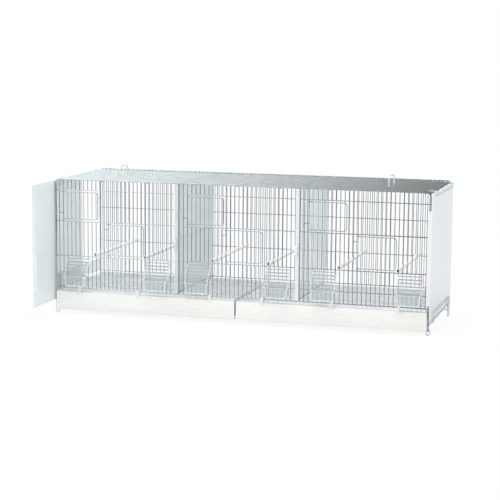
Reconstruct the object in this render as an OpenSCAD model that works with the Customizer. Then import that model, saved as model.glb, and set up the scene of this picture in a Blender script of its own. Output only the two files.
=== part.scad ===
// Three-compartment breeding cage for canaries: welded wire grilles on bent wire frames, two slide-out
// trays, two slide-out dividers, six swinging doors, six outside feeders, six perches, and a plastic
// panel at each end that slides in wire guides. The left panel is drawn forward, as it is seen in use.
//
// X runs along the front, Y from the front to the back, and Z is up from the surface the cage stands on.
// Inside the modules Y is 0 at the front frame's wire; in_place() then centres the whole part on Y.

/* [Frames] */
// Distance between the centres of a frame's two uprights
frame_w = 1185; // [1183:1:1188]
// Distance between the front and the back frame, from wire centre to wire centre
frame_d = 367; // [355:1:375]
// Height of a frame's top wire, at its centre
frame_h = 424; // [420:1:430]
// Diameter of the frame wire
frame_wire = 5; // [4:0.5:5]
// Radius of the bend at a frame's two top corners
frame_bend = 12; // [8:1:20]
// Height of the lower end of the uprights
upright_foot = 12; // [10:1:12]

/* [Grilles] */
// Distance from one bar to the next
pitch = 13.7; // [13.7:0.05:13.75]
// Diameter of the bars
bar_wire = 2; // [1.8:0.1:2.2]
// Diameter of the light cross wires
rail_wire = 2.5; // [2:0.1:2.6]
// Diameter of the heavy cross wires
heavy_rail_wire = 3; // [2.6:0.1:3.2]
// Diameter of the bottom cross wire of the front
sill_wire = 3.5; // [3:0.1:3.6]
// Number of bars on each side of the middle
bars_each_side = 43; // [43:1:43]

/* [Front levels] */
// Height of the bottom cross wire
sill_z = 80; // [79:0.5:81]
// Height of the cross wire that the feeders hang on
feeder_rail_z = 117; // [116:1:118]
// Height of the cross wire that the perches lie on
perch_rail_z = 182; // [180:1:184]
// Height of the cross wire between the lower and the upper doors
middle_rail_z = 292; // [290:1:294]
// Height of the cross wire above the upper doors
upper_rail_z = 390; // [388:1:392]

/* [Doors] */
// Width of a door, from its hinge bar to its free edge
door_w = 115.5; // [112:0.5:115.5]
// Gap between a door's frame and the cross wires above and below it, between wire centres
door_gap = 6.5; // [5.5:0.5:8]
// Radius of the two bends at a door's free edge
door_bend = 9; // [6:1:12]

/* [Feeders] */
// Width of a feeder cup
cup_w = 70; // [66:1:70]
// Depth of a feeder cup, from its front to its back
cup_d = 29.5; // [26:0.5:32]
// Height of a feeder cup
cup_h = 33; // [30:1:34]
// Height of the cup's rim
cup_top = 122; // [121.5:0.5:123]
// Thickness of the cup's walls
cup_wall = 1.6; // [1.2:0.1:2]
// Number of slats across a feeder's hood, below its top bar
hood_slats = 5; // [4:1:7]
// Height of a slat
hood_slat_h = 4.6; // [2.4:0.2:5]

/* [Trays] */
// Height of a tray's front panel
tray_front_h = 58; // [50:1:58]
// Height of the front panel's lower edge
tray_front_z = 12; // [10:1:14]
// Thickness of the front panel
tray_front_t = 2.5; // [2:0.5:3]
// Depth of a tray behind its front panel
tray_d = 356; // [340:1:356]
// Height of the raised edge at the back of a tray, above its rim
tray_back_rise = 7.5; // [0:0.5:7.5]
// Width of the gap between the two trays
tray_gap = 6; // [5:1:8]
// Number of grooved ribs on a tray's front
tray_ribs = 6; // [4:1:7]

/* [End panels] */
// Length of an end panel
panel_d = 383.3; // [370:0.1:385]
// Height of an end panel
panel_h = 378; // [370:1:379]
// Height of an end panel's lower edge
panel_z = 41; // [40:1:42]
// Thickness of an end panel
panel_t = 2.5; // [2:0.1:2.5]
// How far the left panel is drawn forward
panel_pull = 160; // [0:5:200]

/* [Dividers] */
// Thickness of the divider sheet
sheet_t = 2; // [1.5:0.1:2.4]
// Width of the strip at a divider's front edge
strip_w = 11; // [9:0.5:11]

/* [Perches] */
// Outer diameter of a perch
perch_d = 12; // [11:0.5:12.5]
// Diameter of the hole along a perch
perch_hole = 8; // [6:0.5:9]

/* [Handles] */
// Height of a carrying handle above the roof
handle_h = 33; // [28:1:40]

/* [Hidden] */
$fn = 48;

zinc = [0.62, 0.66, 0.68];
white_plastic = [0.90, 0.91, 0.95];
tray_plastic = [0.92, 0.92, 0.89];
panel_plastic = [0.80, 0.85, 0.86];
clear_plastic = [0.85, 0.90, 0.92, 0.45];

touch = 0.02;      // what is left between two wires that are welded side by side
slack = 0.3;       // running gap beside a piece that slides or turns
frame_r = frame_wire / 2;
bar_r = bar_wire / 2;
rail_r = rail_wire / 2;
heavy_r = heavy_rail_wire / 2;
sill_r = sill_wire / 2;
upright_x = frame_w / 2;

// The bars stand just behind the front frame and just in front of the back frame, and the cross wires
// lie on the bars' outer side, in the plane of the frames.
front_bar_y = frame_r + bar_r + touch;
back_bar_y = frame_d - front_bar_y;
function front_rail_y(r) = front_bar_y - bar_r - r - touch;
function back_rail_y(r) = back_bar_y + bar_r + r + touch;
function bar_x(i) = pitch * (i + 0.5);
rail_end_x = upright_x - frame_r - touch;
ledge_z = sill_z - 0.5;
front_ledge_y = front_bar_y + bar_r + rail_r + touch;
back_ledge_y = back_bar_y - bar_r - rail_r - touch;
bar_bottom_z = sill_z - sill_r;
front_bar_top_z = frame_h + 2;
back_bar_top_z = frame_h + frame_r + 1;

// Roof: ties run from front to back just under the frames' top wires, and the roof bars lie on them.
tie_z = frame_h - frame_r - rail_r - touch;
tie_steps = [0, 10, 21, 32, 42];           // distances of the ties from the middle, in bar pitches
roof_bars_n = 26;
roof_pitch = frame_d / (roof_bars_n + 1);
roof_bar_z = tie_z + rail_r + bar_r + touch;
roof_edge_r = 1.75;
roof_edge_z = roof_bar_z - bar_r - roof_edge_r - touch;
roof_edge_x = upright_x - frame_bend
    + sqrt(pow(frame_bend, 2) - pow(roof_edge_z - frame_h + frame_bend, 2));
roof_bar_end_x = roof_edge_x + roof_edge_r;

// Doors: each takes nine pitches of the front and hangs on the bar at its left.
door_span = 9;
upper_door_bars = [-42, -12, 16];
lower_door_bars = [-31, -3, 27];
door_bar_n = 8;
door_frame_r = 1.25;
eyelet_r = 2.8;
eyelet_h = 3;

// Feeders: the window behind each is five pitches wide and starts at the bar given here.
feeder_span = 5;
feeder_bars = [-41, -21, -12, 7, 17, 36];
feeder_x = [-519, -252, -120, 133, 277, 537];
cup_back_y = -0.5;
cup_front_y = cup_back_y - cup_d;
cup_bend = 8;
cup_floor = 2;
peg_r = 1.6;
peg_l = 3.4;
peg_y = cup_front_y + 3;
peg_z = cup_top - 3.5;
hook_w = 6;
hook_t = 1.5;
hood_top_r = 1.5;
hood_arm_t = 2;
hood_arm_w = 4.6;
hood_top_y = front_bar_y - bar_r - slack - hood_arm_w / 2;
hood_top_z = perch_rail_z - 8;
hood_l = sqrt(pow(hood_top_y - peg_y, 2) + pow(hood_top_z - peg_z, 2));
hood_lean = atan2(hood_top_y - peg_y, hood_top_z - peg_z);
hood_slat_t = 1.6;
hood_first_slat = 9;
hood_lug_x = 40;

// Perches: each is notched over a bar of the front and of the back.
perch_bars = [-34, -22, -6, 7, 23, 36];
perch_z = perch_rail_z + heavy_r + perch_d / 2 + touch;
perch_out = 4.5;
notch_w = bar_wire + 0.6;

// Dividers: each stands between two bars, where the cross wires of the front stop.
divider_bars = [-15, 13];
divider_xs = [for (i = divider_bars) bar_x(i) + pitch / 2];
strip_back_y = 4.5;
strip_front_y = -4.5;
strip_bottom_z = sill_z + sill_r + 0.65;
divider_top_z = roof_bar_z - bar_r - 0.3;
divider_back_y = back_bar_y - bar_r - 1.5;
divider_frame_r = 1.5;
divider_bar_r = 0.9;
guide_gap = divider_frame_r + slack + rail_r;
pull_z = 237;
pull_h = 31;
pull_out = 14;
pull_t = 4;
middle_wire_z = pull_z + pull_h / 2 - pull_t / 2;

// Trays and the grids that lie on their rims
tray_x0 = tray_gap / 2;
tray_x1 = upright_x - frame_r - 0.5;
tray_front_y = -9;
tray_top_z = tray_front_z + tray_front_h;
tray_body_y = tray_front_y + tray_front_t;
tray_body_z = 19.8;
tray_inset = 2.5;
tray_wall = 2;
tray_rim = 6;
tray_border = 5;
tray_rib_out = 0.9;
tray_rib_r = 2.2;
grid_wire_r = 1.5;
grid_z = tray_top_z + grid_wire_r + touch;
grid_bar_z = grid_z + grid_wire_r + bar_r + touch;
grid_front_y = -3.5;
grid_back_y = tray_body_y + tray_d - 4;
clip_xs = [[-510, -316, -81], [85, 302, 505]];
clip_w = 17;
clip_stem_w = 8;
clip_top_z = 86;
clip_t = 3.4;
clip_base_h = 6;

// End panels, their guides and the ties between the frames
panel_in_x = upright_x + frame_r + 0.6;
panel_out_x = panel_in_x + panel_t;
panel_play = 2;
panel_front_y = -frame_r - slack - panel_t;
flange_z0 = 90;
flange_z1 = 370;
flange_w = 12.5;
end_tie_r = 1.75;
guide_r = 1.5;
guide_x = panel_out_x + panel_play + guide_r;
guide_low_z = 61;
guide_high_z = 409;
shelf_z = panel_z - slack - guide_r;
shelf_x = guide_x - 2 * guide_r - touch;
stub_z = shelf_z - 2 * guide_r - touch;
low_tie_z = stub_z - guide_r - end_tie_r - touch;
mid_tie_z = 118;
high_tie_z = 410;
guide_front_y = 45.5;
foot_loop_y = [312, 338];
foot_flat = 0.4;
over_stub_z = tie_z + rail_r + guide_r + touch;
over_stub_steps = [4.5, 25.5];
base_r = 2;
base_z = 15;
base_y = frame_r + base_r + touch;
runner_z = base_z + base_r + rail_r + touch;
runner_xs = [20, 210, 400, 575];
front_foot_x = upright_x - 1;
front_foot_half = 5;
front_foot_bend = 4;
strip_t = 1.5;
strip_plate_x = upright_x - end_tie_r - 0.15 - strip_t;

rear_reach = max(frame_d + frame_r, panel_front_y + panel_d);
front_reach = panel_front_y - panel_pull;
centre_y = -(rear_reach + front_reach) / 2;

// ---------------------------------------------------------------- wires

module in_place() {
    translate([0, centre_y, 0]) children();
}

module rod_x(x0, x1, y, z, r) {
    translate([x0, y, z]) rotate([0, 90, 0]) cylinder(h = x1 - x0, r = r);
}

module rod_y(y0, y1, x, z, r) {
    translate([x, y0, z]) rotate([-90, 0, 0]) cylinder(h = y1 - y0, r = r);
}

module rod_z(z0, z1, x, y, r) {
    translate([x, y, z0]) cylinder(h = z1 - z0, r = r);
}

// Quarter bend in the XZ plane, from +X round to +Z
module bend(bend_r, r) {
    rotate([90, 0, 0]) rotate_extrude(angle = 90) translate([bend_r, 0]) circle(r = r);
}

// Wire bent into an arch in the XZ plane, open below: outer legs at +-half_w, top wire at z1
module arch(half_w, z0, z1, bend_r, r) {
    rod_x(-half_w + bend_r, half_w - bend_r, 0, z1, r);
    for (side = [0, 1]) mirror([side, 0, 0]) {
        rod_z(z0, z1 - bend_r, half_w, 0, r);
        translate([half_w - bend_r, 0, z1 - bend_r]) bend(bend_r, r);
    }
}

// The same bend hanging down as a foot, cut flat at z = 0
module foot_loop(half_w, z1, bend_r, r) {
    difference() {
        translate([0, 0, r - foot_flat]) mirror([0, 0, 1]) arch(half_w, -z1, 0, bend_r, r);
        translate([-half_w - 2 * r, -2 * r, -2 * r]) cube([2 * half_w + 4 * r, 4 * r, 2 * r]);
    }
}

// ---------------------------------------------------------------- frames and grilles

module front_frame() {
    color(zinc) in_place() arch(upright_x, upright_foot, frame_h, frame_bend, frame_r);
}

module back_frame() {
    color(zinc) in_place() translate([0, frame_d, 0])
        arch(upright_x, upright_foot, frame_h, frame_bend, frame_r);
}

// Openings of the front, as [first bar, span in pitches, low z, high z], from the lowest level up
windows = concat(
    [for (b = feeder_bars) [b, feeder_span, feeder_rail_z, perch_rail_z]],
    [for (b = lower_door_bars) [b, door_span, perch_rail_z, middle_rail_z]],
    [for (b = upper_door_bars) [b, door_span, middle_rail_z, upper_rail_z]]
);
function cuts(i) = [for (w = windows) if (i > w[0] && i < w[0] + w[1]) each [w[2], w[3]]];
function stops(i) = concat([bar_bottom_z + bar_r], cuts(i), [front_bar_top_z - bar_r]);

module front_bars() {
    color(zinc) in_place()
        for (i = [-bars_each_side : bars_each_side - 1]) {
            z = stops(i);
            for (n = [0 : 2 : len(z) - 1])
                if (z[n + 1] > z[n])
                    rod_z(z[n] - bar_r, z[n + 1] + bar_r, bar_x(i), front_bar_y, bar_r);
        }
}

module front_rails() {
    cut_0 = divider_bars[0];
    cut_1 = divider_bars[1];
    runs = [[-rail_end_x, bar_x(cut_0) + bar_r], [bar_x(cut_0 + 1) - bar_r, bar_x(cut_1) + bar_r],
            [bar_x(cut_1 + 1) - bar_r, rail_end_x]];
    levels = [[upper_rail_z, rail_r], [middle_rail_z, heavy_r], [perch_rail_z, heavy_r],
              [feeder_rail_z, rail_r]];
    color(zinc) in_place() {
        for (level = levels, run = runs)
            rod_x(run[0], run[1], front_rail_y(level[1]), level[0], level[1]);
        rod_x(-rail_end_x, rail_end_x, front_rail_y(sill_r), sill_z, sill_r);
        rod_x(-rail_end_x, rail_end_x, front_ledge_y, ledge_z, rail_r);
    }
}

module back_bars() {
    color(zinc) in_place()
        for (i = [-bars_each_side : bars_each_side - 1])
            rod_z(bar_bottom_z, back_bar_top_z, bar_x(i), back_bar_y, bar_r);
}

module back_rails() {
    levels = [ledge_z, perch_rail_z, middle_rail_z + 2.5];
    color(zinc) in_place() {
        for (z = levels) rod_x(-rail_end_x, rail_end_x, back_rail_y(rail_r), z, rail_r);
        rod_x(-rail_end_x, rail_end_x, back_ledge_y, ledge_z, rail_r);
    }
}

module roof_bars() {
    color(zinc) in_place()
        for (n = [1 : roof_bars_n])
            rod_x(-roof_bar_end_x, roof_bar_end_x, n * roof_pitch, roof_bar_z, bar_r);
}

module roof_ties() {
    color(zinc) in_place() {
        for (step = tie_steps, side = step == 0 ? [1] : [-1, 1])
            rod_y(-frame_r - 0.5, frame_d + frame_r + 0.5, side * step * pitch, tie_z, rail_r);
        for (side = [-1, 1])
            rod_y(frame_r + touch, frame_d - frame_r - touch, side * roof_edge_x, roof_edge_z, roof_edge_r);
    }
}

// ---------------------------------------------------------------- ends, base and feet

module end_ties() {
    for (z = [low_tie_z, mid_tie_z, high_tie_z])
        rod_y(frame_r + touch, frame_d - frame_r - touch, upright_x, z, end_tie_r);
}

module end_ties_left() {
    color(zinc) in_place() mirror([1, 0, 0]) end_ties();
}

module end_ties_right() {
    color(zinc) in_place() end_ties();
}

module base_runners() {
    reach = front_foot_x + front_foot_half + guide_r;
    color(zinc) in_place() {
        for (y = [base_y, frame_d - base_y]) rod_x(-reach, reach, y, base_z, base_r);
        for (x = runner_xs, side = [-1, 1])
            rod_y(base_y - base_r, frame_d - base_y + base_r, side * x, runner_z, rail_r);
    }
}

module feet() {
    loop_half = (foot_loop_y[1] - foot_loop_y[0]) / 2;
    color(zinc) in_place() for (side = [0, 1]) mirror([side, 0, 0]) {
        translate([front_foot_x, base_y, 0])
            foot_loop(front_foot_half, base_z - base_r - guide_r + foot_flat - touch,
                      front_foot_bend, guide_r);
        translate([guide_x, foot_loop_y[0] + loop_half, 0]) rotate([0, 0, 90])
            foot_loop(loop_half, guide_low_z - 2 * guide_r + foot_flat - touch, 8, guide_r);
    }
}

// Wires outside an end panel: a shelf under its lower edge and one wire that holds it in at the bottom
// and one at the top, which is hung from the roof over the panel's upper edge
module panel_guide() {
    rod_y(guide_front_y - guide_r, foot_loop_y[1] + guide_r, guide_x, guide_low_z, guide_r);
    rod_y(guide_front_y - guide_r, foot_loop_y[1] + guide_r, shelf_x, shelf_z, guide_r);
    rod_z(30, guide_low_z - guide_r - touch, guide_x, guide_front_y, guide_r);
    for (y = [guide_front_y, foot_loop_y[0]])
        rod_x(upright_x - end_tie_r, guide_x - guide_r - touch, y, stub_z, guide_r);
    rod_y(over_stub_steps[0] * roof_pitch - guide_r, over_stub_steps[1] * roof_pitch + guide_r,
          guide_x, guide_high_z, guide_r);
    for (step = over_stub_steps) {
        y = step * roof_pitch;
        rod_z(guide_high_z + guide_r + touch, over_stub_z - guide_r - touch, guide_x, y, guide_r);
        rod_x(tie_steps[4] * pitch - rail_r, guide_x + guide_r, y, over_stub_z, guide_r);
    }
}

module panel_guide_left() {
    color(zinc) in_place() mirror([1, 0, 0]) panel_guide();
}

module panel_guide_right() {
    color(zinc) in_place() panel_guide();
}

// Plastic strip that keeps seed in at an end, hung over the middle tie by its bent lip
module seed_strip() {
    lip_z = mid_tie_z + end_tie_r + 0.05;
    translate([strip_plate_x, 8, sill_z + 0.5]) cube([strip_t, frame_d - 17, lip_z + strip_t - sill_z - 0.5]);
    translate([strip_plate_x, 8, lip_z]) cube([strip_t + end_tie_r + 1.5, frame_d - 17, strip_t]);
}

module seed_strip_left() {
    color(white_plastic) in_place() mirror([1, 0, 0]) seed_strip();
}

module seed_strip_right() {
    color(white_plastic) in_place() seed_strip();
}

// Rail under the middle of the floor, between the two trays' grids
module centre_rail() {
    r = 2;
    color(zinc) in_place() rod_y(front_bar_y, back_bar_y, 0, ledge_z - rail_r - r - touch, r);
}

// Flanged end panel, closed: its front edge is bent in over the upright
module side_panel() {
    translate([panel_in_x, panel_front_y, panel_z]) cube([panel_t, panel_d, panel_h]);
    translate([panel_out_x - flange_w, panel_front_y, flange_z0])
        cube([flange_w, panel_t, flange_z1 - flange_z0]);
}

module side_panel_left() {
    color(panel_plastic) in_place() translate([0, -panel_pull, 0]) mirror([1, 0, 0]) side_panel();
}

module side_panel_right() {
    color(panel_plastic) in_place() side_panel();
}

// ---------------------------------------------------------------- handles and perches

module handle(side) {
    translate([side * tie_steps[3] * pitch, frame_d / 2, 0]) rotate([0, 0, 90])
        arch(3 * roof_pitch, tie_z + rail_r + touch, frame_h + handle_h - 2.5, 12, 2);
}

module handle_left() {
    color(zinc) in_place() handle(-1);
}

module handle_right() {
    color(zinc) in_place() handle(1);
}

module perch(n) {
    color(white_plastic) in_place() translate([bar_x(perch_bars[n - 1]), 0, perch_z]) difference() {
        rod_y(-perch_out, frame_d + perch_out, 0, 0, perch_d / 2);
        rod_y(-perch_out - 1, frame_d + perch_out + 1, 0, 0, perch_hole / 2);
        for (y = [-perch_out - 1, back_bar_y - bar_r - slack])
            translate([-notch_w / 2, y, -perch_d])
                cube([notch_w, perch_out + 1 + front_bar_y + bar_r + slack, 2 * perch_d]);
    }
}

// ---------------------------------------------------------------- doors

// A bent wire frame with its own bars, hung by two eyelets on the grille bar at its left
module door(hinge_bar, low_z, high_z) {
    z0 = low_z + door_gap;
    z1 = high_z - door_gap;
    color(zinc) in_place() translate([bar_x(hinge_bar), front_bar_y, 0]) {
        for (z = [z0, z1]) {
            rod_x((bar_r + slack + eyelet_r) / 2, door_w - door_bend, 0, z, door_frame_r);
            translate([0, 0, z - eyelet_h / 2]) difference() {
                cylinder(h = eyelet_h, r = eyelet_r);
                translate([0, 0, -1]) cylinder(h = eyelet_h + 2, r = bar_r + slack);
            }
        }
        rod_z(z0 + door_bend, z1 - door_bend, door_w, 0, door_frame_r);
        translate([door_w - door_bend, 0, z1 - door_bend]) bend(door_bend, door_frame_r);
        translate([door_w - door_bend, 0, z0 + door_bend]) mirror([0, 0, 1]) bend(door_bend, door_frame_r);
        for (n = [1 : door_bar_n])
            rod_z(z0 + (n == door_bar_n ? 0.4 : 0), z1 - (n == door_bar_n ? 0.4 : 0), n * pitch, 0, bar_r);
    }
}

module upper_door(n) {
    door(upper_door_bars[n - 1], middle_rail_z, upper_rail_z);
}

module lower_door(n) {
    door(lower_door_bars[n - 1], perch_rail_z, middle_rail_z);
}

// Short wires between a door's hinge bar and the bar beside it
module door_stops() {
    y = front_bar_y - 2 * bar_r - touch;
    color(zinc) in_place() {
        for (i = upper_door_bars) rod_x(bar_x(i - 1) - bar_r, bar_x(i) + bar_r, y, middle_rail_z + 26, bar_r);
        for (i = lower_door_bars) rod_x(bar_x(i - 1) - bar_r, bar_x(i) + bar_r, y, middle_rail_z - 22, bar_r);
    }
}

// ---------------------------------------------------------------- feeders

module cup_block(w, d, h, bend_r) {
    translate([-w / 2, 0, bend_r]) cube([w, d, h - bend_r]);
    translate([-w / 2 + bend_r, 0, 0]) cube([w - 2 * bend_r, d, 2 * bend_r]);
    for (side = [-1, 1]) rod_y(0, d, side * (w / 2 - bend_r), bend_r, bend_r);
}

module feeder_cup(n) {
    x = feeder_x[n - 1];
    hook_z = feeder_rail_z + rail_r + slack;
    hook_back_y = front_rail_y(rail_r) + rail_r + slack;
    color(clear_plastic) in_place() {
        translate([x, cup_front_y, cup_top - cup_h]) difference() {
            cup_block(cup_w, cup_d, cup_h, cup_bend);
            translate([0, cup_wall, cup_floor])
                cup_block(cup_w - 2 * cup_wall, cup_d - 2 * cup_wall, cup_h, cup_bend - cup_wall);
        }
        for (side = [0, 1]) translate([x, 0, 0]) mirror([side, 0, 0])
            rod_x(cup_w / 2 - cup_wall / 2, cup_w / 2 + peg_l, peg_y, peg_z, peg_r);
        for (side = [-1, 1]) {
            hook_x = pitch * round((x + side * 20) / pitch);
            translate([hook_x - hook_w / 2, cup_back_y - cup_wall, hook_z])
                cube([hook_w, hook_back_y + hook_t - cup_back_y + cup_wall, hook_t]);
            translate([hook_x - hook_w / 2, hook_back_y, hook_z - 6]) cube([hook_w, hook_t, 6 + hook_t]);
        }
    }
}

// Hood of flat slats between two arms. It turns on the cup's pegs, and its top bar rests on the bars
// at each side of the window.
module feeder_hood(n) {
    color(white_plastic) in_place() translate([feeder_x[n - 1], peg_y, peg_z]) rotate([-hood_lean, 0, 0]) {
        for (side = [0, 1]) mirror([side, 0, 0]) difference() {
            translate([cup_w / 2 + 0.4, 0, 0]) {
                rod_x(0, hood_arm_t, 0, 0, peg_r + 1.8);
                rod_x(0, hood_arm_t, 0, hood_l, hood_arm_w / 2);
                translate([0, -hood_arm_w / 2, 0]) cube([hood_arm_t, hood_arm_w, hood_l]);
            }
            rod_x(0, cup_w, 0, 0, peg_r + slack);
        }
        rod_x(-hood_lug_x, hood_lug_x, 0, hood_l, hood_top_r);
        for (k = [0 : hood_slats - 1]) {
            reach = cup_w / 2 + 0.4 + hood_arm_t / 2;
            slat_z = hood_first_slat + k * (hood_l - hood_first_slat) / hood_slats;
            translate([-reach, -hood_slat_t / 2, slat_z - hood_slat_h / 2])
                cube([2 * reach, hood_slat_t, hood_slat_h]);
        }
    }
}

// ---------------------------------------------------------------- trays and their grids

module tray() {
    w = tray_x1 - tray_x0;
    body_x = tray_x0 + tray_inset;
    body_w = w - 2 * tray_inset;
    rib_pitch = (tray_front_h - 2 * tray_border) / tray_ribs;
    translate([tray_x0, tray_front_y, tray_front_z]) cube([w, tray_front_t, tray_front_h]);
    for (k = [0 : tray_ribs - 1])
        rod_x(tray_x0 + tray_border, tray_x1 - tray_border,
              tray_front_y - tray_rib_out + tray_rib_r,
              tray_front_z + tray_border + (k + 0.5) * rib_pitch, tray_rib_r);
    difference() {
        translate([body_x, tray_body_y, tray_body_z]) cube([body_w, tray_d, tray_top_z - tray_body_z]);
        translate([body_x + tray_wall, tray_body_y + tray_wall, tray_body_z + tray_wall])
            cube([body_w - 2 * tray_wall, tray_d - 2 * tray_wall, tray_top_z - tray_body_z - 2 * tray_wall]);
        translate([body_x + tray_rim, tray_body_y + tray_rim, tray_top_z - 2 * tray_wall])
            cube([body_w - 2 * tray_rim, tray_d - 2 * tray_rim, 3 * tray_wall]);
    }
    translate([body_x, tray_body_y + tray_d - tray_wall, tray_top_z - tray_wall])
        cube([body_w, tray_wall, tray_wall + tray_back_rise]);
}

module tray_left() {
    color(tray_plastic) in_place() mirror([1, 0, 0]) tray();
}

module tray_right() {
    color(tray_plastic) in_place() tray();
}

// Clips over the top edge of a tray's front panel, each with a base that flares out below its stem
module tray_clips(xs) {
    flare = [[-clip_w / 2, -clip_base_h], [clip_w / 2, -clip_base_h], [clip_w / 2, 1.5 - clip_base_h],
             [clip_stem_w / 2, slack], [-clip_stem_w / 2, slack], [-clip_w / 2, 1.5 - clip_base_h]];
    color(white_plastic) in_place() for (x = xs) {
        translate([x, tray_front_y, tray_top_z]) rotate([90, 0, 0])
            linear_extrude(height = clip_t) polygon(flare);
        translate([x - clip_stem_w / 2, tray_front_y - clip_t, tray_top_z + slack])
            cube([clip_stem_w, clip_t + tray_front_t + 1.2, clip_top_z - tray_top_z - slack]);
    }
}

// Wire grid that lies on a tray's rim, bars running from front to back
module floor_grid() {
    x0 = tray_x0 + tray_inset;
    x1 = tray_x1 - tray_inset;
    bars = floor((x1 - x0 - 2 * bar_wire) / pitch);
    first = x0 + (x1 - x0 - bars * pitch) / 2;
    for (k = [0 : 3])
        rod_x(x0, x1, grid_front_y + k * (grid_back_y - grid_front_y) / 3, grid_z, grid_wire_r);
    for (k = [0 : bars])
        rod_y(grid_front_y - grid_wire_r, grid_back_y + grid_wire_r, first + k * pitch, grid_bar_z, bar_r);
}

module floor_grid_left() {
    color(zinc) in_place() mirror([1, 0, 0]) floor_grid();
}

module floor_grid_right() {
    color(zinc) in_place() floor_grid();
}

// ---------------------------------------------------------------- dividers

module divider_guides() {
    low_z = ledge_z + 2 * rail_r + touch;
    color(zinc) in_place()
        for (x = divider_xs, offset = [-guide_gap, guide_gap], z = [low_z, tie_z])
            rod_y(strip_back_y + slack, back_bar_y - bar_r - touch, x + offset, z, rail_r);
}

// Strip along a divider's front edge, with a loop to pull it by
module divider_edge(n) {
    round_r = 4;
    loop_y = strip_front_y - pull_out;
    color(white_plastic) in_place() translate([divider_xs[n], 0, 0]) {
        translate([-strip_w / 2, strip_front_y, strip_bottom_z])
            cube([strip_w, strip_back_y - strip_front_y, divider_top_z - round_r - strip_bottom_z]);
        translate([-strip_w / 2, strip_front_y + round_r, strip_bottom_z])
            cube([strip_w, strip_back_y - strip_front_y - round_r, divider_top_z - strip_bottom_z]);
        rod_x(-strip_w / 2, strip_w / 2, strip_front_y + round_r, divider_top_z - round_r, round_r);
        difference() {
            union() {
                translate([-pull_t, loop_y + pull_out / 2, pull_z - pull_h / 2])
                    cube([2 * pull_t, pull_out / 2, pull_h]);
                translate([-pull_t, loop_y, pull_z - pull_h / 2 + pull_out / 2])
                    cube([2 * pull_t, pull_out, pull_h - pull_out]);
                for (z = [-1, 1])
                    rod_x(-pull_t, pull_t, loop_y + pull_out / 2, pull_z + z * (pull_h - pull_out) / 2,
                          pull_out / 2);
            }
            translate([-pull_t - 1, loop_y + pull_t - 1, pull_z - pull_h / 2 + pull_t])
                cube([2 * pull_t + 2, pull_out - pull_t + 1 - touch, pull_h - 2 * pull_t]);
        }
    }
}

// Plain sheet with one stiffening rib along it, level with the upper end of the pull loop
module divider_sheet() {
    color(panel_plastic) in_place() {
        translate([divider_xs[0] - sheet_t / 2, strip_back_y, strip_bottom_z])
            cube([sheet_t, divider_back_y - strip_back_y, divider_top_z - strip_bottom_z]);
        rod_y(strip_back_y, divider_back_y, divider_xs[0] + sheet_t / 2 + divider_bar_r + touch,
              middle_wire_z, divider_bar_r);
    }
}

// Wire frame with upright bars and the same rib, as a wire welded across them
module divider_grid() {
    y0 = strip_back_y + divider_frame_r + touch;
    y1 = divider_back_y - divider_frame_r;
    z0 = strip_bottom_z + divider_frame_r;
    z1 = divider_top_z - divider_frame_r;
    bars = round((y1 - y0) / pitch);
    step = (y1 - y0) / bars;
    inner = divider_frame_r + touch;
    color(zinc) in_place() translate([divider_xs[1], 0, 0]) {
        for (y = [y0, y1]) rod_z(z0 + inner, z1 - inner, 0, y, divider_frame_r);
        for (z = [z0, z1])
            rod_y(y0 - divider_frame_r, y1 + divider_frame_r, 0, z, divider_frame_r);
        for (k = [1 : bars - 1]) rod_z(z0 + inner, z1 - inner, 0, y0 + k * step, divider_bar_r);
        rod_y(y0 + inner, y1 - inner, 2 * divider_bar_r + touch, middle_wire_z, divider_bar_r);
    }
}

front_frame();
back_frame();
front_bars();
front_rails();
back_bars();
back_rails();
roof_bars();
roof_ties();
end_ties_left();
end_ties_right();
base_runners();
feet();
panel_guide_left();
panel_guide_right();
seed_strip_left();
seed_strip_right();
centre_rail();
divider_guides();
door_stops();
handle_left();
handle_right();
perch(1);  // perch_1
perch(2);  // perch_2
perch(3);  // perch_3
perch(4);  // perch_4
perch(5);  // perch_5
perch(6);  // perch_6
feeder_cup(1);  // feeder_cup_1
feeder_cup(2);  // feeder_cup_2
feeder_cup(3);  // feeder_cup_3
feeder_cup(4);  // feeder_cup_4
feeder_cup(5);  // feeder_cup_5
feeder_cup(6);  // feeder_cup_6
feeder_hood(1);  // feeder_hood_1
feeder_hood(2);  // feeder_hood_2
feeder_hood(3);  // feeder_hood_3
feeder_hood(4);  // feeder_hood_4
feeder_hood(5);  // feeder_hood_5
feeder_hood(6);  // feeder_hood_6
upper_door(1);  // upper_door_1
upper_door(2);  // upper_door_2
upper_door(3);  // upper_door_3
lower_door(1);  // lower_door_1
lower_door(2);  // lower_door_2
lower_door(3);  // lower_door_3
side_panel_left();
side_panel_right();
tray_left();
tray_right();
tray_clips(clip_xs[0]);  // tray_clips_left
tray_clips(clip_xs[1]);  // tray_clips_right
floor_grid_left();
floor_grid_right();
divider_sheet();
divider_edge(0);  // divider_sheet_edge
divider_grid();
divider_edge(1);  // divider_grid_edge
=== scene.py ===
from math import atan, cos, pi, radians, sin

import bmesh
import bpy
from mathutils import Matrix, Vector


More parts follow.
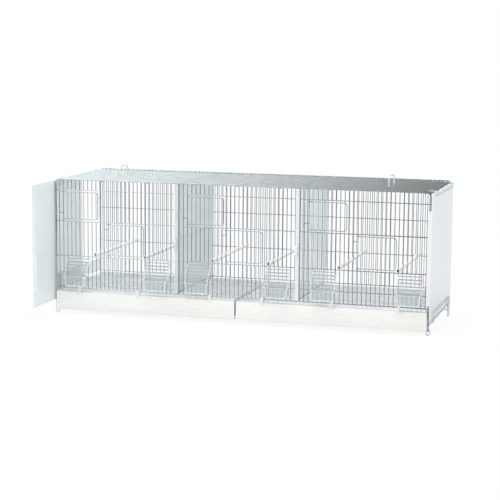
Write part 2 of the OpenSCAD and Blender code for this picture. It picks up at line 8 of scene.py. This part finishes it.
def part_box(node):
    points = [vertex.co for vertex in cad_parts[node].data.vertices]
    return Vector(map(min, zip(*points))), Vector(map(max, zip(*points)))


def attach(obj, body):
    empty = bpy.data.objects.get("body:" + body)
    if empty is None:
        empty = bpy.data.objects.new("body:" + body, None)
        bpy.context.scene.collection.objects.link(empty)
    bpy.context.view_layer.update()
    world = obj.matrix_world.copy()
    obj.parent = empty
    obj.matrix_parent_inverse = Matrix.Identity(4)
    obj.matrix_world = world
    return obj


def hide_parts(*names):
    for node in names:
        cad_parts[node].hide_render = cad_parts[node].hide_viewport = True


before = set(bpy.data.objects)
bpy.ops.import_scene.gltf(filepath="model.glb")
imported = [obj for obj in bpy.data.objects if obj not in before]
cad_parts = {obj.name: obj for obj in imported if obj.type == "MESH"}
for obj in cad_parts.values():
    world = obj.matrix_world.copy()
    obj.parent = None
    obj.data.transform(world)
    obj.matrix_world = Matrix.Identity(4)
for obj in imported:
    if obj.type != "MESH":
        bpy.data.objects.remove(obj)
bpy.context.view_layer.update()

# ---------------------------------------------------------------- front and back frames
# Two arches of thick round wire carry the whole cage. Each is bent from one piece, with its two
# lower ends cut square, and is zinc plated after welding, so it's bright with a faint blue cast.

FRAME_WIRES = ["front_frame", "back_frame"]
PATCH_DETAIL = 4
PATCH_EDGES = (0.35, 0.65)    # part of the noise over which one shade blends into the other
ZINC_PATCHES = 38             # patches per metre
BATH_GRAINS = 2600            # grains along each side of a piece's box
BATH_GRAIN_H = 0.00003
BATH_GRAIN_STRENGTH = 0.5
SHARP_EDGE = radians(30)      # edges that turn by more than this stay sharp


def new_finish(name, roughness):
    """A material with its node tree, and its shader with what stays the same all over it."""
    material = bpy.data.materials.new(name)
    material.use_nodes = True
    shader = material.node_tree.nodes["Principled BSDF"]
    shader.inputs["Roughness"].default_value = roughness
    return material, material.node_tree, shader


def patchy_colour(tree, shader, patches, light, dark):
    """Colour that drifts between two shades, with this many patches per metre."""
    place = tree.nodes.new("ShaderNodeTexCoord")
    noise = tree.nodes.new("ShaderNodeTexNoise")
    noise.inputs["Scale"].default_value = patches
    noise.inputs["Detail"].default_value = PATCH_DETAIL
    shades = tree.nodes.new("ShaderNodeValToRGB")
    for stop, position, shade in zip(shades.color_ramp.elements, PATCH_EDGES, (dark, light)):
        stop.position = position
        stop.color = (*shade, 1)
    tree.links.new(place.outputs["Object"], noise.inputs["Vector"])
    tree.links.new(noise.outputs["Fac"], shades.inputs["Fac"])
    tree.links.new(shades.outputs["Color"], shader.inputs["Base Color"])


def fine_grain(tree, shader, grains, height, strength):
    """Fine unevenness of a surface, with this many grains along each side of the piece's box."""
    grain = tree.nodes.new("ShaderNodeTexNoise")
    grain.inputs["Scale"].default_value = grains
    bump = tree.nodes.new("ShaderNodeBump")
    bump.inputs["Distance"].default_value = height
    bump.inputs["Strength"].default_value = strength
    tree.links.new(grain.outputs["Fac"], bump.inputs["Height"])
    tree.links.new(bump.outputs["Normal"], shader.inputs["Normal"])


def zinc_plate(name, light, dark, roughness, metal=0.9):
    """Plated steel wire: cloudy in patches of a few centimetres, with the grain of the bath."""
    material, tree, shader = new_finish(name, roughness)
    shader.inputs["Metallic"].default_value = metal
    patchy_colour(tree, shader, ZINC_PATCHES, light, dark)
    fine_grain(tree, shader, BATH_GRAINS, BATH_GRAIN_H, BATH_GRAIN_STRENGTH)
    return material


def dress(material, names):
    """Gives CAD nodes their finish, smooth over the round parts and sharp at real edges."""
    for name in names:
        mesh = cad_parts[name].data
        mesh.materials.clear()
        mesh.materials.append(material)
        mesh.shade_smooth()
        mesh.set_sharp_from_angle(angle=SHARP_EDGE)


frame_zinc = zinc_plate("zinc_frame_wire", light=(0.74, 0.80, 0.83), dark=(0.60, 0.66, 0.69),
                        roughness=0.2)
dress(frame_zinc, FRAME_WIRES)

# ---------------------------------------------------------------- grilles
# Thin drawn wires, spot welded where they cross: upright bars with a few cross wires outside them
# on the front and back, and on the roof long bars over ties that run from front to back.

UPRIGHT_BARS = ["front_bars", "back_bars", "door_stops"]
CROSS_WIRES = ["front_rails", "back_rails", "divider_guides"]
ROOF_WIRES = ["roof_bars", "roof_ties"]
SAME_POINT = 6                # points that agree to this many decimals of a metre are one
FRAME_BEND = 3                # wire thicknesses that a frame's top corner takes up
WELD_REACH = 0.00006          # two wires closer than this are welded
WELD_R = 0.00115
# Far darker copy of the zinc for upright bars and grille welds: painted shade from a dark room.
painted_shade_bar_zinc = zinc_plate("zinc_bar_wire_painted_shade", light=(0.37, 0.44, 0.49), dark=(0.27, 0.33, 0.38),
                      roughness=0.26)
rail_zinc = zinc_plate("zinc_cross_wire", light=(0.68, 0.70, 0.70), dark=(0.57, 0.59, 0.59),
                       roughness=0.12, metal=1.0)
roof_zinc = zinc_plate("zinc_roof_wire", light=(0.76, 0.78, 0.78), dark=(0.64, 0.66, 0.66),
                       roughness=0.22)
dress(painted_shade_bar_zinc, UPRIGHT_BARS)
dress(rail_zinc, CROSS_WIRES)
dress(roof_zinc, ROOF_WIRES)


def solids_of(name):
    """Lowest and highest corner of each separate solid of a CAD node, such as each wire."""
    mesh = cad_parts[name].data
    places = {}
    spot = [places.setdefault(tuple(round(c, SAME_POINT) for c in vertex.co), vertex.index)
            for vertex in mesh.vertices]
    parent = list(range(len(spot)))

    def solid(i):
        while parent[i] != i:
            parent[i] = parent[parent[i]]
            i = parent[i]
        return i

    for edge in mesh.edges:
        a, b = (solid(spot[i]) for i in edge.vertices)
        parent[a] = b
    boxes = {}
    for vertex in mesh.vertices:
        here = solid(spot[vertex.index])
        low, high = boxes.setdefault(here, (vertex.co.copy(), vertex.co.copy()))
        for axis, c in enumerate(vertex.co):
            low[axis] = min(low[axis], c)
            high[axis] = max(high[axis], c)
    return list(boxes.values())


def top_wire_of(name):
    """The straight top wire of a bent frame."""
    low, high = (Vector(corner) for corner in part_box(name))
    wire_d = high.y - low.y
    bend = FRAME_BEND * wire_d
    return [(Vector((low.x + bend, low.y, high.z - wire_d)),
             Vector((high.x - bend, high.y, high.z)))]


def crossings(wires, others):
    """Points where a wire of one list touches a wire of the other."""
    points = []
    for low, high in wires:
        for other_low, other_high in others:
            if low == other_low:
                continue
            start = [max(a, b) for a, b in zip(low, other_low)]
            end = [min(a, b) for a, b in zip(high, other_high)]
            if all(b - a > -WELD_REACH for a, b in zip(start, end)):
                points.append(Vector([(a + b) / 2 for a, b in zip(start, end)]))
    return points


def new_piece(name, solid, material):
    """A piece made from a bmesh, with its finish."""
    mesh = bpy.data.meshes.new(name)
    solid.to_mesh(mesh)
    solid.free()
    mesh.materials.append(material)
    piece = bpy.data.objects.new(name, mesh)
    bpy.context.scene.collection.objects.link(piece)
    return piece


def weld_beads(name, points, body, material):
    """Small round beads of melted wire, one at each spot weld."""
    beads = bmesh.new()
    for point in points:
        bmesh.ops.create_icosphere(beads, subdivisions=1, radius=WELD_R,
                                   matrix=Matrix.Translation(point))
    for face in beads.faces:
        face.smooth = True
    welds = new_piece(name, beads, material)
    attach(welds, body)


front_top_wire = top_wire_of("front_frame")
back_top_wire = top_wire_of("back_frame")
grille_welds = (crossings(solids_of("front_bars"), solids_of("front_rails") + front_top_wire)
                + crossings(solids_of("back_bars"), solids_of("back_rails") + back_top_wire)
                + crossings(solids_of("roof_ties"),
                            solids_of("roof_bars") + front_top_wire + back_top_wire))
# The grille welds take the bars' painted dark shade.
weld_beads("grille_welds", grille_welds, "cage", painted_shade_bar_zinc)

# ---------------------------------------------------------------- ends, base and feet
# Plain wires between the two frames, wires that the trays slide on, bent wire feet, and the
# guides that hold the end panels. All are welded on before plating.

END_WIRES = ["end_ties_left", "end_ties_right", "panel_guide_left", "panel_guide_right"]
BASE_WIRES = ["base_runners", "feet", "centre_rail"]
# Pale, barely metallic copy of the zinc: painted light, where these wires would mirror a dark
# room.
painted_light_guide_zinc = zinc_plate("zinc_guide_wire_painted_light", light=(0.84, 0.92, 0.94), dark=(0.74, 0.83, 0.86),
                        roughness=0.3, metal=0.25)
dress(painted_light_guide_zinc, END_WIRES + BASE_WIRES)

# ---------------------------------------------------------------- handles
# A carrying handle stands on the roof near each end: one bent wire, welded to a roof tie and
# plated with the rest.

# Near-white, barely metallic copy of the zinc: painted light, standing in for the plating's sheen.
painted_light_handle_zinc = zinc_plate("zinc_handle_wire_painted_light", light=(0.93, 0.96, 0.97), dark=(0.84, 0.90, 0.92),
                         roughness=0.3, metal=0.1)
dress(painted_light_handle_zinc, ["handle_left", "handle_right"])

# ---------------------------------------------------------------- seed strips and perches
# Moulded plastic. A clear strip hangs inside each end and keeps seed in; the perches are white
# ribbed tubes, slotted at both ends and pushed over a bar of the front and of the back.

PERCHES = range(1, 7)
MOULD_PATCHES = 14            # patches per metre
MOULD_GRAINS = 900            # grains along each side of a piece's box
MOULD_GRAIN_H = 0.00004
MOULD_GRAIN_STRENGTH = 0.4
CLEAR_PATCHES = 30
CLEAR_DARK = 0.95             # a clear moulding's darker shade, as a share of its tint
PERCH_RIBS = 14
PERCH_GROOVE = 0.0005
PERCH_WALL = 0.0018
PERCH_SLOT = 0.0026
PERCH_SLOT_END = 0.0048       # how far the slots reach in from the middle of a frame's wire
PERCH_SHARP_EDGE = radians(50)
POINTS_PER_RIB = 6


def moulded(name, light, dark, roughness):
    """Moulded plastic: nearly even colour, with the faint unevenness of the mould in its gloss."""
    material, tree, shader = new_finish(name, roughness)
    patchy_colour(tree, shader, MOULD_PATCHES, light, dark)
    fine_grain(tree, shader, MOULD_GRAINS, MOULD_GRAIN_H, MOULD_GRAIN_STRENGTH)
    return material


def clear_moulding(name, tint, cover, roughness):
    """Clear plastic; cover is how much of what lies behind it is hidden."""
    material, tree, shader = new_finish(name, roughness)
    shader.inputs["Alpha"].default_value = cover
    patchy_colour(tree, shader, CLEAR_PATCHES, tint, tuple(CLEAR_DARK * c for c in tint))
    return material


strip_plastic = clear_moulding("strip_plastic", tint=(0.88, 0.93, 0.94), cover=0.45,
                               roughness=0.2)
perch_moulding = moulded("perch_moulding", light=(0.97, 0.97, 0.96), dark=(0.94, 0.94, 0.93),
                         roughness=0.4)
dress(strip_plastic, ["seed_strip_left", "seed_strip_right"])


def perch_outline(radius, start, end, steps, ribbed):
    """Points of an arc about a perch's centre line; ribbed ones sink between the ribs."""
    points = []
    for step in range(steps + 1):
        angle = start + (end - start) * step / steps
        groove = PERCH_GROOVE * (1 - abs(cos(angle * PERCH_RIBS / 2))) if ribbed else 0
        points.append(((radius - groove) * cos(angle), (radius - groove) * sin(angle)))
    return points


def extrude_outline(solid, outline, y_from, y_to, middle):
    """The sides of a prism in bmesh from an outline in XZ; gives back the points of its ends."""
    ends = [[solid.verts.new((middle.x + x, y, middle.z + z)) for x, z in outline]
            for y in (y_from, y_to)]
    count = len(outline)
    for i in range(count):
        j = (i + 1) % count
        solid.faces.new((ends[0][i], ends[0][j], ends[1][j], ends[1][i]))
    return ends


def ribbed_perch(number):
    """Tube with ribs along it, and a slot at each end that fits over a grille bar."""
    node = f"perch_{number}"
    low, high = (Vector(corner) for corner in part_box(node))
    middle = (low + high) / 2
    radius = (high.x - low.x) / 2
    hole = radius - PERCH_WALL
    slot_near = frame_front_y + PERCH_SLOT_END
    slot_far = frame_back_y - PERCH_SLOT_END
    solid = bmesh.new()
    around = PERCH_RIBS * POINTS_PER_RIB
    outer = perch_outline(radius, 0, 2 * pi, around, True)[:-1]
    inner = perch_outline(hole, 0, 2 * pi, around, False)[:-1]
    outer_ends = extrude_outline(solid, outer, slot_near, slot_far, middle)
    inner_ends = extrude_outline(solid, inner, slot_near, slot_far, middle)
    for outside, inside in zip(outer_ends, inner_ends):
        for i in range(around):
            j = (i + 1) % around
            solid.faces.new((outside[i], outside[j], inside[j], inside[i]))
    cheek = pi / 2 - atan(PERCH_SLOT / 2 / radius)
    inner_cheek = pi / 2 - atan(PERCH_SLOT / 2 / hole)
    for y_from, y_to in ((low.y, slot_near), (slot_far, high.y)):
        for turn in (0, pi):
            outline = perch_outline(radius, turn - cheek, turn + cheek, around // 2, True)
            outline += perch_outline(hole, turn + inner_cheek, turn - inner_cheek, around // 2,
                                     False)
            half = len(outline) // 2
            for end in extrude_outline(solid, outline, y_from, y_to, middle):
                for i in range(half - 1):
                    solid.faces.new((end[i], end[i + 1], end[-2 - i], end[-1 - i]))
    bmesh.ops.recalc_face_normals(solid, faces=solid.faces)
    for face in solid.faces:
        face.smooth = True
    perch = new_piece(f"ribbed_perch_{number}", solid, perch_moulding)
    perch.data.set_sharp_from_angle(angle=PERCH_SHARP_EDGE)
    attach(perch, "cage")
    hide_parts(node)


def middle_y(name):
    """Y of the plane that a flat CAD node lies in."""
    low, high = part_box(name)
    return (low[1] + high[1]) / 2


frame_front_y = middle_y("front_frame")
frame_back_y = middle_y("back_frame")
for number in PERCHES:
    ribbed_perch(number)

# ---------------------------------------------------------------- doors
# Six doors of welded wire. Each has a bent frame with its own bars and swings on two eyelets,
# which are bent round a bar of the front grille.

DOORS = [f"{level}_door_{number}" for level in ("upper", "lower") for number in (1, 2, 3)]
door_zinc = zinc_plate("zinc_door_wire", light=(0.66, 0.72, 0.74), dark=(0.52, 0.58, 0.60),
                       roughness=0.26, metal=0.8)
dress(door_zinc, DOORS)

# ---------------------------------------------------------------- feeder cups
# Six clear moulded cups hang outside the front by two hooks each. The lip round the mouth and the
# edge round the front are thickened, and drawn opaque near-white: painted highlight, for the light
# that these clear edges catch.

FEEDERS = range(1, 7)
CUP_HALF_W = 0.035
CUP_H = 0.033
CUP_GAP = 0.0005              # between a cup and the middle of the front frame's wire
CUP_RIM_R = 0.0008
CUP_CORNER = 0.003
CUP_EDGE_R = 0.0017
CUP_BOTTOM_CORNER = 0.0068
CORNER_STEPS = 6
RIM_SIDES = 8
# Faint blue cast of the plastic, darkened to grey: painted shade for the cups' insides.
cup_plastic_and_painted_shade = clear_moulding("clear_cup_painted_shade", tint=(0.62, 0.69, 0.72), cover=0.2,
                             roughness=0.1)
# Opaque near-white on a clear cup: painted highlight along the lip and front edge.
painted_rim_highlight = clear_moulding("cup_rim_painted_highlight", tint=(0.98, 0.99, 0.99), cover=1.0,
                             roughness=0.1)
dress(cup_plastic_and_painted_shade, [f"feeder_cup_{number}" for number in FEEDERS])


def quarter_turn(start):
    """Angles of a rounded corner."""
    return [start + pi / 2 * step / CORNER_STEPS for step in range(CORNER_STEPS + 1)]


def mouth_outline(low_x, high_x, low_y, high_y, z):
    """Points round the mouth of a cup."""
    left, right = low_x + CUP_CORNER, high_x - CUP_CORNER
    near, far = low_y + CUP_CORNER, high_y - CUP_CORNER
    corners = ((right, far, 0), (left, far, pi / 2), (left, near, pi), (right, near, 1.5 * pi))
    return [Vector((x + CUP_CORNER * cos(angle), y + CUP_CORNER * sin(angle), z))
            for x, y, start in corners for angle in quarter_turn(start)]


def front_outline(low_x, high_x, y, low_z, high_z):
    """Points down one side of a cup's front, round its bottom corners and up the other side."""
    corner = CUP_BOTTOM_CORNER
    points = [Vector((low_x, y, high_z))]
    for x, start in ((low_x + corner, pi), (high_x - corner, 1.5 * pi)):
        points += [Vector((x + corner * cos(angle), y, low_z + corner + corner * sin(angle)))
                   for angle in quarter_turn(start)]
    points.append(Vector((high_x, y, high_z)))
    return points


def bead_along(solid, path, radius, across, closed):
    """A round bead along a flat path; across is the direction square to the path's plane."""
    last = len(path) - 1
    turns = [2 * pi * side / RIM_SIDES for side in range(RIM_SIDES)]
    rings = []
    for i, point in enumerate(path):
        before = path[i - 1] if closed or i > 0 else path[0]
        after = path[(i + 1) % len(path)] if closed or i < last else path[last]
        out = (after - before).normalized().cross(across)
        rings.append([solid.verts.new(point + radius * (cos(turn) * out + sin(turn) * across))
                      for turn in turns])
    for ring, following in zip(rings, rings[1:] + rings[:1] if closed else rings[1:]):
        for k in range(RIM_SIDES):
            j = (k + 1) % RIM_SIDES
            solid.faces.new((ring[k], ring[j], following[j], following[k]))
    if not closed:
        solid.faces.new(rings[0])
        solid.faces.new(rings[-1])


def cup_rim(number):
    """The thickened lip round the mouth of a feeder cup and the round edge of its front."""
    cup_low = solids_of(f"feeder_cup_{number}")[0][0]
    hood_low, hood_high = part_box(f"feeder_hood_{number}")
    middle_x = (hood_low[0] + hood_high[0]) / 2
    half_w = CUP_HALF_W - CUP_RIM_R / 2
    near_y = cup_low.y + CUP_RIM_R
    far_y = frame_front_y - CUP_GAP - CUP_RIM_R
    lip_z = cup_low.z + CUP_H - CUP_RIM_R
    edge_half_w = half_w - CUP_EDGE_R
    solid = bmesh.new()
    bead_along(solid, mouth_outline(middle_x - half_w, middle_x + half_w, near_y, far_y, lip_z),
               CUP_RIM_R, Vector((0, 0, 1)), closed=True)
    bead_along(solid, front_outline(middle_x - edge_half_w, middle_x + edge_half_w,
                                    cup_low.y + CUP_EDGE_R, cup_low.z + CUP_EDGE_R, lip_z),
               CUP_EDGE_R, Vector((0, 1, 0)), closed=False)
    bmesh.ops.recalc_face_normals(solid, faces=solid.faces)
    for face in solid.faces:
        face.smooth = True
    rim = new_piece(f"cup_rim_{number}", solid, painted_rim_highlight)
    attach(rim, "cage")


for number in FEEDERS:
    cup_rim(number)

# ---------------------------------------------------------------- feeder hoods
# Over each cup leans a moulded hood that turns on the cup's two pegs: slats that let the light
# through a little, between side arms of the same pale moulding. The slats' grey tint is painted
# shade, for the shadow lines between them.

HOOD_SLAT_HALF = 0.035        # the arms begin this far from the hood's middle
# Dark grey tint on the slats: painted shade, for the shadow between them.
painted_slat_shade = clear_moulding("hood_slat_painted_shade", tint=(0.50, 0.54, 0.56), cover=0.85,
                              roughness=0.2)
arm_plastic = clear_moulding("hood_arm_plastic", tint=(0.94, 0.96, 0.97), cover=0.8,
                             roughness=0.2)
dress(painted_slat_shade, [f"feeder_hood_{number}" for number in FEEDERS])


def second_finish(name, material, belongs):
    """Another finish for those faces of a CAD node whose middle passes a test."""
    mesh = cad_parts[name].data
    mesh.materials.append(material)
    for face in mesh.polygons:
        if belongs(face.center):
            face.material_index = 1


for number in FEEDERS:
    hood_low, hood_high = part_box(f"feeder_hood_{number}")
    hood_middle = (hood_low[0] + hood_high[0]) / 2
    second_finish(f"feeder_hood_{number}", arm_plastic,
                  lambda spot: abs(spot.x - hood_middle) > HOOD_SLAT_HALF)

# ---------------------------------------------------------------- end panels
# Glossy sheets of plastic, flanged at the front edge: pale blue-grey on the left and nearly white
# on the right. They slide in the wire guides, and the left one is drawn forward.

panel_plastic = moulded("panel_plastic", light=(0.84, 0.90, 0.91), dark=(0.80, 0.87, 0.88),
                        roughness=0.18)
bright_panel_plastic = moulded("bright_panel_plastic", light=(0.93, 0.94, 0.95),
                               dark=(0.90, 0.92, 0.94), roughness=0.16)
dress(panel_plastic, ["side_panel_left"])
dress(bright_panel_plastic, ["side_panel_right"])

# ---------------------------------------------------------------- trays
# Two deep moulded trays slide in under the floor, creamy, with the front ribbed lengthwise.
# Inside they get a greyer, bluer copy of the moulding as painted shade. White clips are pushed
# over the top edge, and a welded wire grid lies on top.

SIDES = ("left", "right")
TRAY_FRONT = 0.0035           # depth of the front panel with its ribs
tray_moulding = moulded("tray_moulding", light=(0.97, 0.97, 0.94), dark=(0.94, 0.94, 0.91),
                        roughness=0.36)
# Greyer, bluer copy of the tray moulding for the inside faces: painted shade.
painted_shade_inside_tray = moulded("tray_inside_painted_shade", light=(0.95, 0.96, 0.96),
                         dark=(0.91, 0.92, 0.93), roughness=0.4)
white_moulding = moulded("white_moulding", light=(0.88, 0.89, 0.92), dark=(0.83, 0.85, 0.89),
                         roughness=0.32)
# Pale, barely metallic copy of the zinc for the floor grids and their welds: painted light.
painted_light_grid_zinc = zinc_plate("zinc_floor_grid_painted_light", light=(0.92, 0.94, 0.95), dark=(0.82, 0.85, 0.87),
                       roughness=0.3, metal=0.3)
dress(tray_moulding, ["tray_left", "tray_right"])
dress(white_moulding, ["tray_clips_left", "tray_clips_right"])
dress(painted_light_grid_zinc, ["floor_grid_left", "floor_grid_right"])
for side in SIDES:
    tray_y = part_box(f"tray_{side}")[0][1]
    second_finish(f"tray_{side}", painted_shade_inside_tray, lambda spot: spot.y > tray_y + TRAY_FRONT)
    grid_wires = solids_of(f"floor_grid_{side}")
    weld_beads(f"floor_grid_welds_{side}", crossings(grid_wires, grid_wires), f"{side}_tray",
               painted_light_grid_zinc)

# ---------------------------------------------------------------- dividers
# One divider is a half clear plastic sheet with a rod across it, and one a welded wire grid. Each
# has a moulded strip with a pull loop along the front edge, clear on the sheet, white on the grid.

DIVIDER_SHEET_T = 0.0021      # the sheet itself; its rod stands out beyond
sheet_plastic = clear_moulding("divider_sheet_plastic", tint=(0.78, 0.86, 0.88), cover=0.6,
                               roughness=0.18)
rod_plastic = clear_moulding("divider_rod_plastic", tint=(0.55, 0.66, 0.70), cover=0.9,
                             roughness=0.2)
edge_plastic = clear_moulding("divider_edge_plastic", tint=(0.84, 0.90, 0.91), cover=0.72,
                              roughness=0.2)
dress(sheet_plastic, ["divider_sheet"])
sheet_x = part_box("divider_sheet")[0][0]
second_finish("divider_sheet", rod_plastic, lambda spot: spot.x > sheet_x + DIVIDER_SHEET_T)
dress(edge_plastic, ["divider_sheet_edge"])
# The divider grid and its welds take the guides' painted light.
dress(painted_light_guide_zinc, ["divider_grid"])
dress(white_moulding, ["divider_grid_edge"])
divider_wires = solids_of("divider_grid")
weld_beads("divider_welds", crossings(divider_wires, divider_wires), "wire_divider", painted_light_guide_zinc)

# ---------------------------------------------------------------- table
# A plain white table top that runs on past the picture. The camera sees it white, with the cage's
# shadow, and what mirrors it shows it darker toward the front right, as in the photo.

TABLE_REACH = 30.0
TABLE_GREY = 0.9
TABLE_ROUGHNESS = 0.9
PLAIN_FROM_TO = (0.8, 2.0)    # distances over which the table's own shade and shadows fade out
PLAIN_SHARES = (0.92, 1.0)    # how much of the table the camera sees as plain white there
MIRRORED_WAY = (1, -0.7, 0)
MIRRORED_SPAN = (0.2, 1.1)
MIRRORED_SHADES = ((0.84, 0.90, 0.92), (0.06, 0.055, 0.05))
floor_mesh = bpy.data.meshes.new("floor")
floor_corners = [(x * TABLE_REACH, y * TABLE_REACH, 0)
                 for x, y in ((-1, -1), (1, -1), (1, 1), (-1, 1))]
floor_mesh.from_pydata(floor_corners, [], [(0, 1, 2, 3)])
floor = bpy.data.objects.new("floor", floor_mesh)
bpy.context.scene.collection.objects.link(floor)

white_table, table_tree, table_shader = new_finish("white_table", TABLE_ROUGHNESS)
table_shader.inputs["Base Color"].default_value = (TABLE_GREY, TABLE_GREY, TABLE_GREY, 1)
add, link = table_tree.nodes.new, table_tree.links.new
ray = add("ShaderNodeLightPath")
place = add("ShaderNodeTexCoord")

toward_dark = add("ShaderNodeVectorMath")
toward_dark.operation = "DOT_PRODUCT"
toward_dark.inputs[1].default_value = MIRRORED_WAY
along = add("ShaderNodeMapRange")
along.inputs["From Min"].default_value, along.inputs["From Max"].default_value = MIRRORED_SPAN
mirrored_shades = add("ShaderNodeValToRGB")
for stop, shade in zip(mirrored_shades.color_ramp.elements, MIRRORED_SHADES):
    stop.color = (*shade, 1)
mirrored = add("ShaderNodeEmission")
matt_or_mirrored = add("ShaderNodeMixShader")
link(place.outputs["Object"], toward_dark.inputs[0])
link(toward_dark.outputs["Value"], along.inputs["Value"])
link(along.outputs[0], mirrored_shades.inputs["Fac"])
link(mirrored_shades.outputs["Color"], mirrored.inputs["Color"])
link(ray.outputs["Is Glossy Ray"], matt_or_mirrored.inputs[0])
link(table_shader.outputs[0], matt_or_mirrored.inputs[1])
link(mirrored.outputs[0], matt_or_mirrored.inputs[2])

distance = add("ShaderNodeVectorMath")
distance.operation = "LENGTH"
plain = add("ShaderNodeMapRange")
plain.inputs["From Min"].default_value, plain.inputs["From Max"].default_value = PLAIN_FROM_TO
plain.inputs["To Min"].default_value, plain.inputs["To Max"].default_value = PLAIN_SHARES
plain_to_camera = add("ShaderNodeMath")
plain_to_camera.operation = "MULTIPLY"
plain_white = add("ShaderNodeEmission")
table_or_plain = add("ShaderNodeMixShader")
link(place.outputs["Object"], distance.inputs[0])
link(distance.outputs["Value"], plain.inputs["Value"])
link(ray.outputs["Is Camera Ray"], plain_to_camera.inputs[0])
link(plain.outputs[0], plain_to_camera.inputs[1])
link(plain_to_camera.outputs[0], table_or_plain.inputs[0])
link(matt_or_mirrored.outputs[0], table_or_plain.inputs[1])
link(plain_white.outputs[0], table_or_plain.inputs[2])
link(table_or_plain.outputs[0], table_tree.nodes["Material Output"].inputs["Surface"])
floor_mesh.materials.append(white_table)

# ---------------------------------------------------------------- room
# An even white room, darker toward the right in what mirrors it, and two soft boxes: one in
# front of the cage and above it, and one overhead.

ROOM_LIGHT = 0.68             # what the white room gives to matt surfaces
GLOSS_SPAN = (-0.40, -0.15)   # part of the room, as a direction along X, over which it darkens
GLOSS_SHADES = ((0.0, (1.50, 1.60, 1.64)), (0.5, (0.86, 0.89, 0.89)),
                (1.0, (0.03, 0.024, 0.018)))
LIT_POINT = (0, 0, 0.25)      # the middle of the cage
world = bpy.data.worlds.new("studio")
bpy.context.scene.world = world
world.use_nodes = True
world.cycles.sampling_method = "NONE"    # each kind of ray sees its own shade of the room
add, link = world.node_tree.nodes.new, world.node_tree.links.new
ray = add("ShaderNodeLightPath")

direction = add("ShaderNodeTexCoord")
direction_parts = add("ShaderNodeSeparateXYZ")
across = add("ShaderNodeMapRange")
across.inputs["From Min"].default_value, across.inputs["From Max"].default_value = GLOSS_SPAN
room_shades = add("ShaderNodeValToRGB")
room_shades.color_ramp.elements.new(GLOSS_SHADES[1][0])
room_shades.color_ramp.elements[2].position = GLOSS_SHADES[2][0]
for stop, (position, shade) in zip(room_shades.color_ramp.elements, GLOSS_SHADES):
    stop.position = position
    stop.color = (*shade, 1)
gloss_or_room = add("ShaderNodeMixRGB")
gloss_or_room.inputs[1].default_value = (ROOM_LIGHT, ROOM_LIGHT, ROOM_LIGHT, 1)
link(direction.outputs["Generated"], direction_parts.inputs[0])
link(direction_parts.outputs["X"], across.inputs["Value"])
link(across.outputs[0], room_shades.inputs["Fac"])
link(ray.outputs["Is Glossy Ray"], gloss_or_room.inputs[0])
link(room_shades.outputs["Color"], gloss_or_room.inputs[2])

seen_directly = add("ShaderNodeMath")
seen_directly.operation = "MAXIMUM"
white_or_rest = add("ShaderNodeMixRGB")
white_or_rest.inputs[2].default_value = (1, 1, 1, 1)
link(ray.outputs["Is Camera Ray"], seen_directly.inputs[0])
link(ray.outputs["Is Transmission Ray"], seen_directly.inputs[1])
link(seen_directly.outputs[0], white_or_rest.inputs[0])
link(gloss_or_room.outputs[0], white_or_rest.inputs[1])
link(white_or_rest.outputs[0], world.node_tree.nodes["Background"].inputs["Color"])


def soft_lamp(name, place, size, watts):
    """A square soft box that faces the cage, and isn't itself mirrored."""
    light = bpy.data.lights.new(name, "AREA")
    light.shape = "SQUARE"
    light.size = size
    light.energy = watts
    lamp = bpy.data.objects.new(name, light)
    lamp.location = place
    lamp.rotation_euler = (Vector(LIT_POINT) - Vector(place)).to_track_quat("-Z", "Y").to_euler()
    lamp.visible_glossy = False
    bpy.context.scene.collection.objects.link(lamp)


soft_lamp("key_box", place=(0.2, -1.9, 2.4), size=1.6, watts=18)
soft_lamp("top_box", place=(0, 0.3, 2.6), size=1.8, watts=46)

# ---------------------------------------------------------------- camera
# It stands in front of the cage, to the right and a little above it, as the photo's camera did.
# Its place and turns were fitted to the corners of the frames in the photo.

PICTURE_SIDE = 500
FOCAL_PIXELS = 1498.9
SENSOR = 36.0
EYE_FROM_FRONT_FRAME = Vector((1.3156, -4.3126, 0.8886))
TURN = 0.2868                 # to the left, then down, then about the line of sight, in radians
TILT = 0.1456
ROLL = 0.0081
photo_lens = bpy.data.cameras.new("photo_camera")
photo_lens.sensor_width = SENSOR
photo_lens.lens = FOCAL_PIXELS * SENSOR / PICTURE_SIDE
photo_camera = bpy.data.objects.new("photo_camera", photo_lens)
eye = EYE_FROM_FRONT_FRAME + Vector((0, frame_front_y, 0))
photo_camera.matrix_world = (Matrix.Translation(eye) @ Matrix.Rotation(TURN, 4, "Z")
                             @ Matrix.Rotation(pi / 2 - TILT, 4, "X")
                             @ Matrix.Rotation(ROLL, 4, "Z"))
bpy.context.scene.collection.objects.link(photo_camera)
bpy.context.scene.camera = photo_camera
bpy.context.scene.view_settings.view_transform = "Standard"
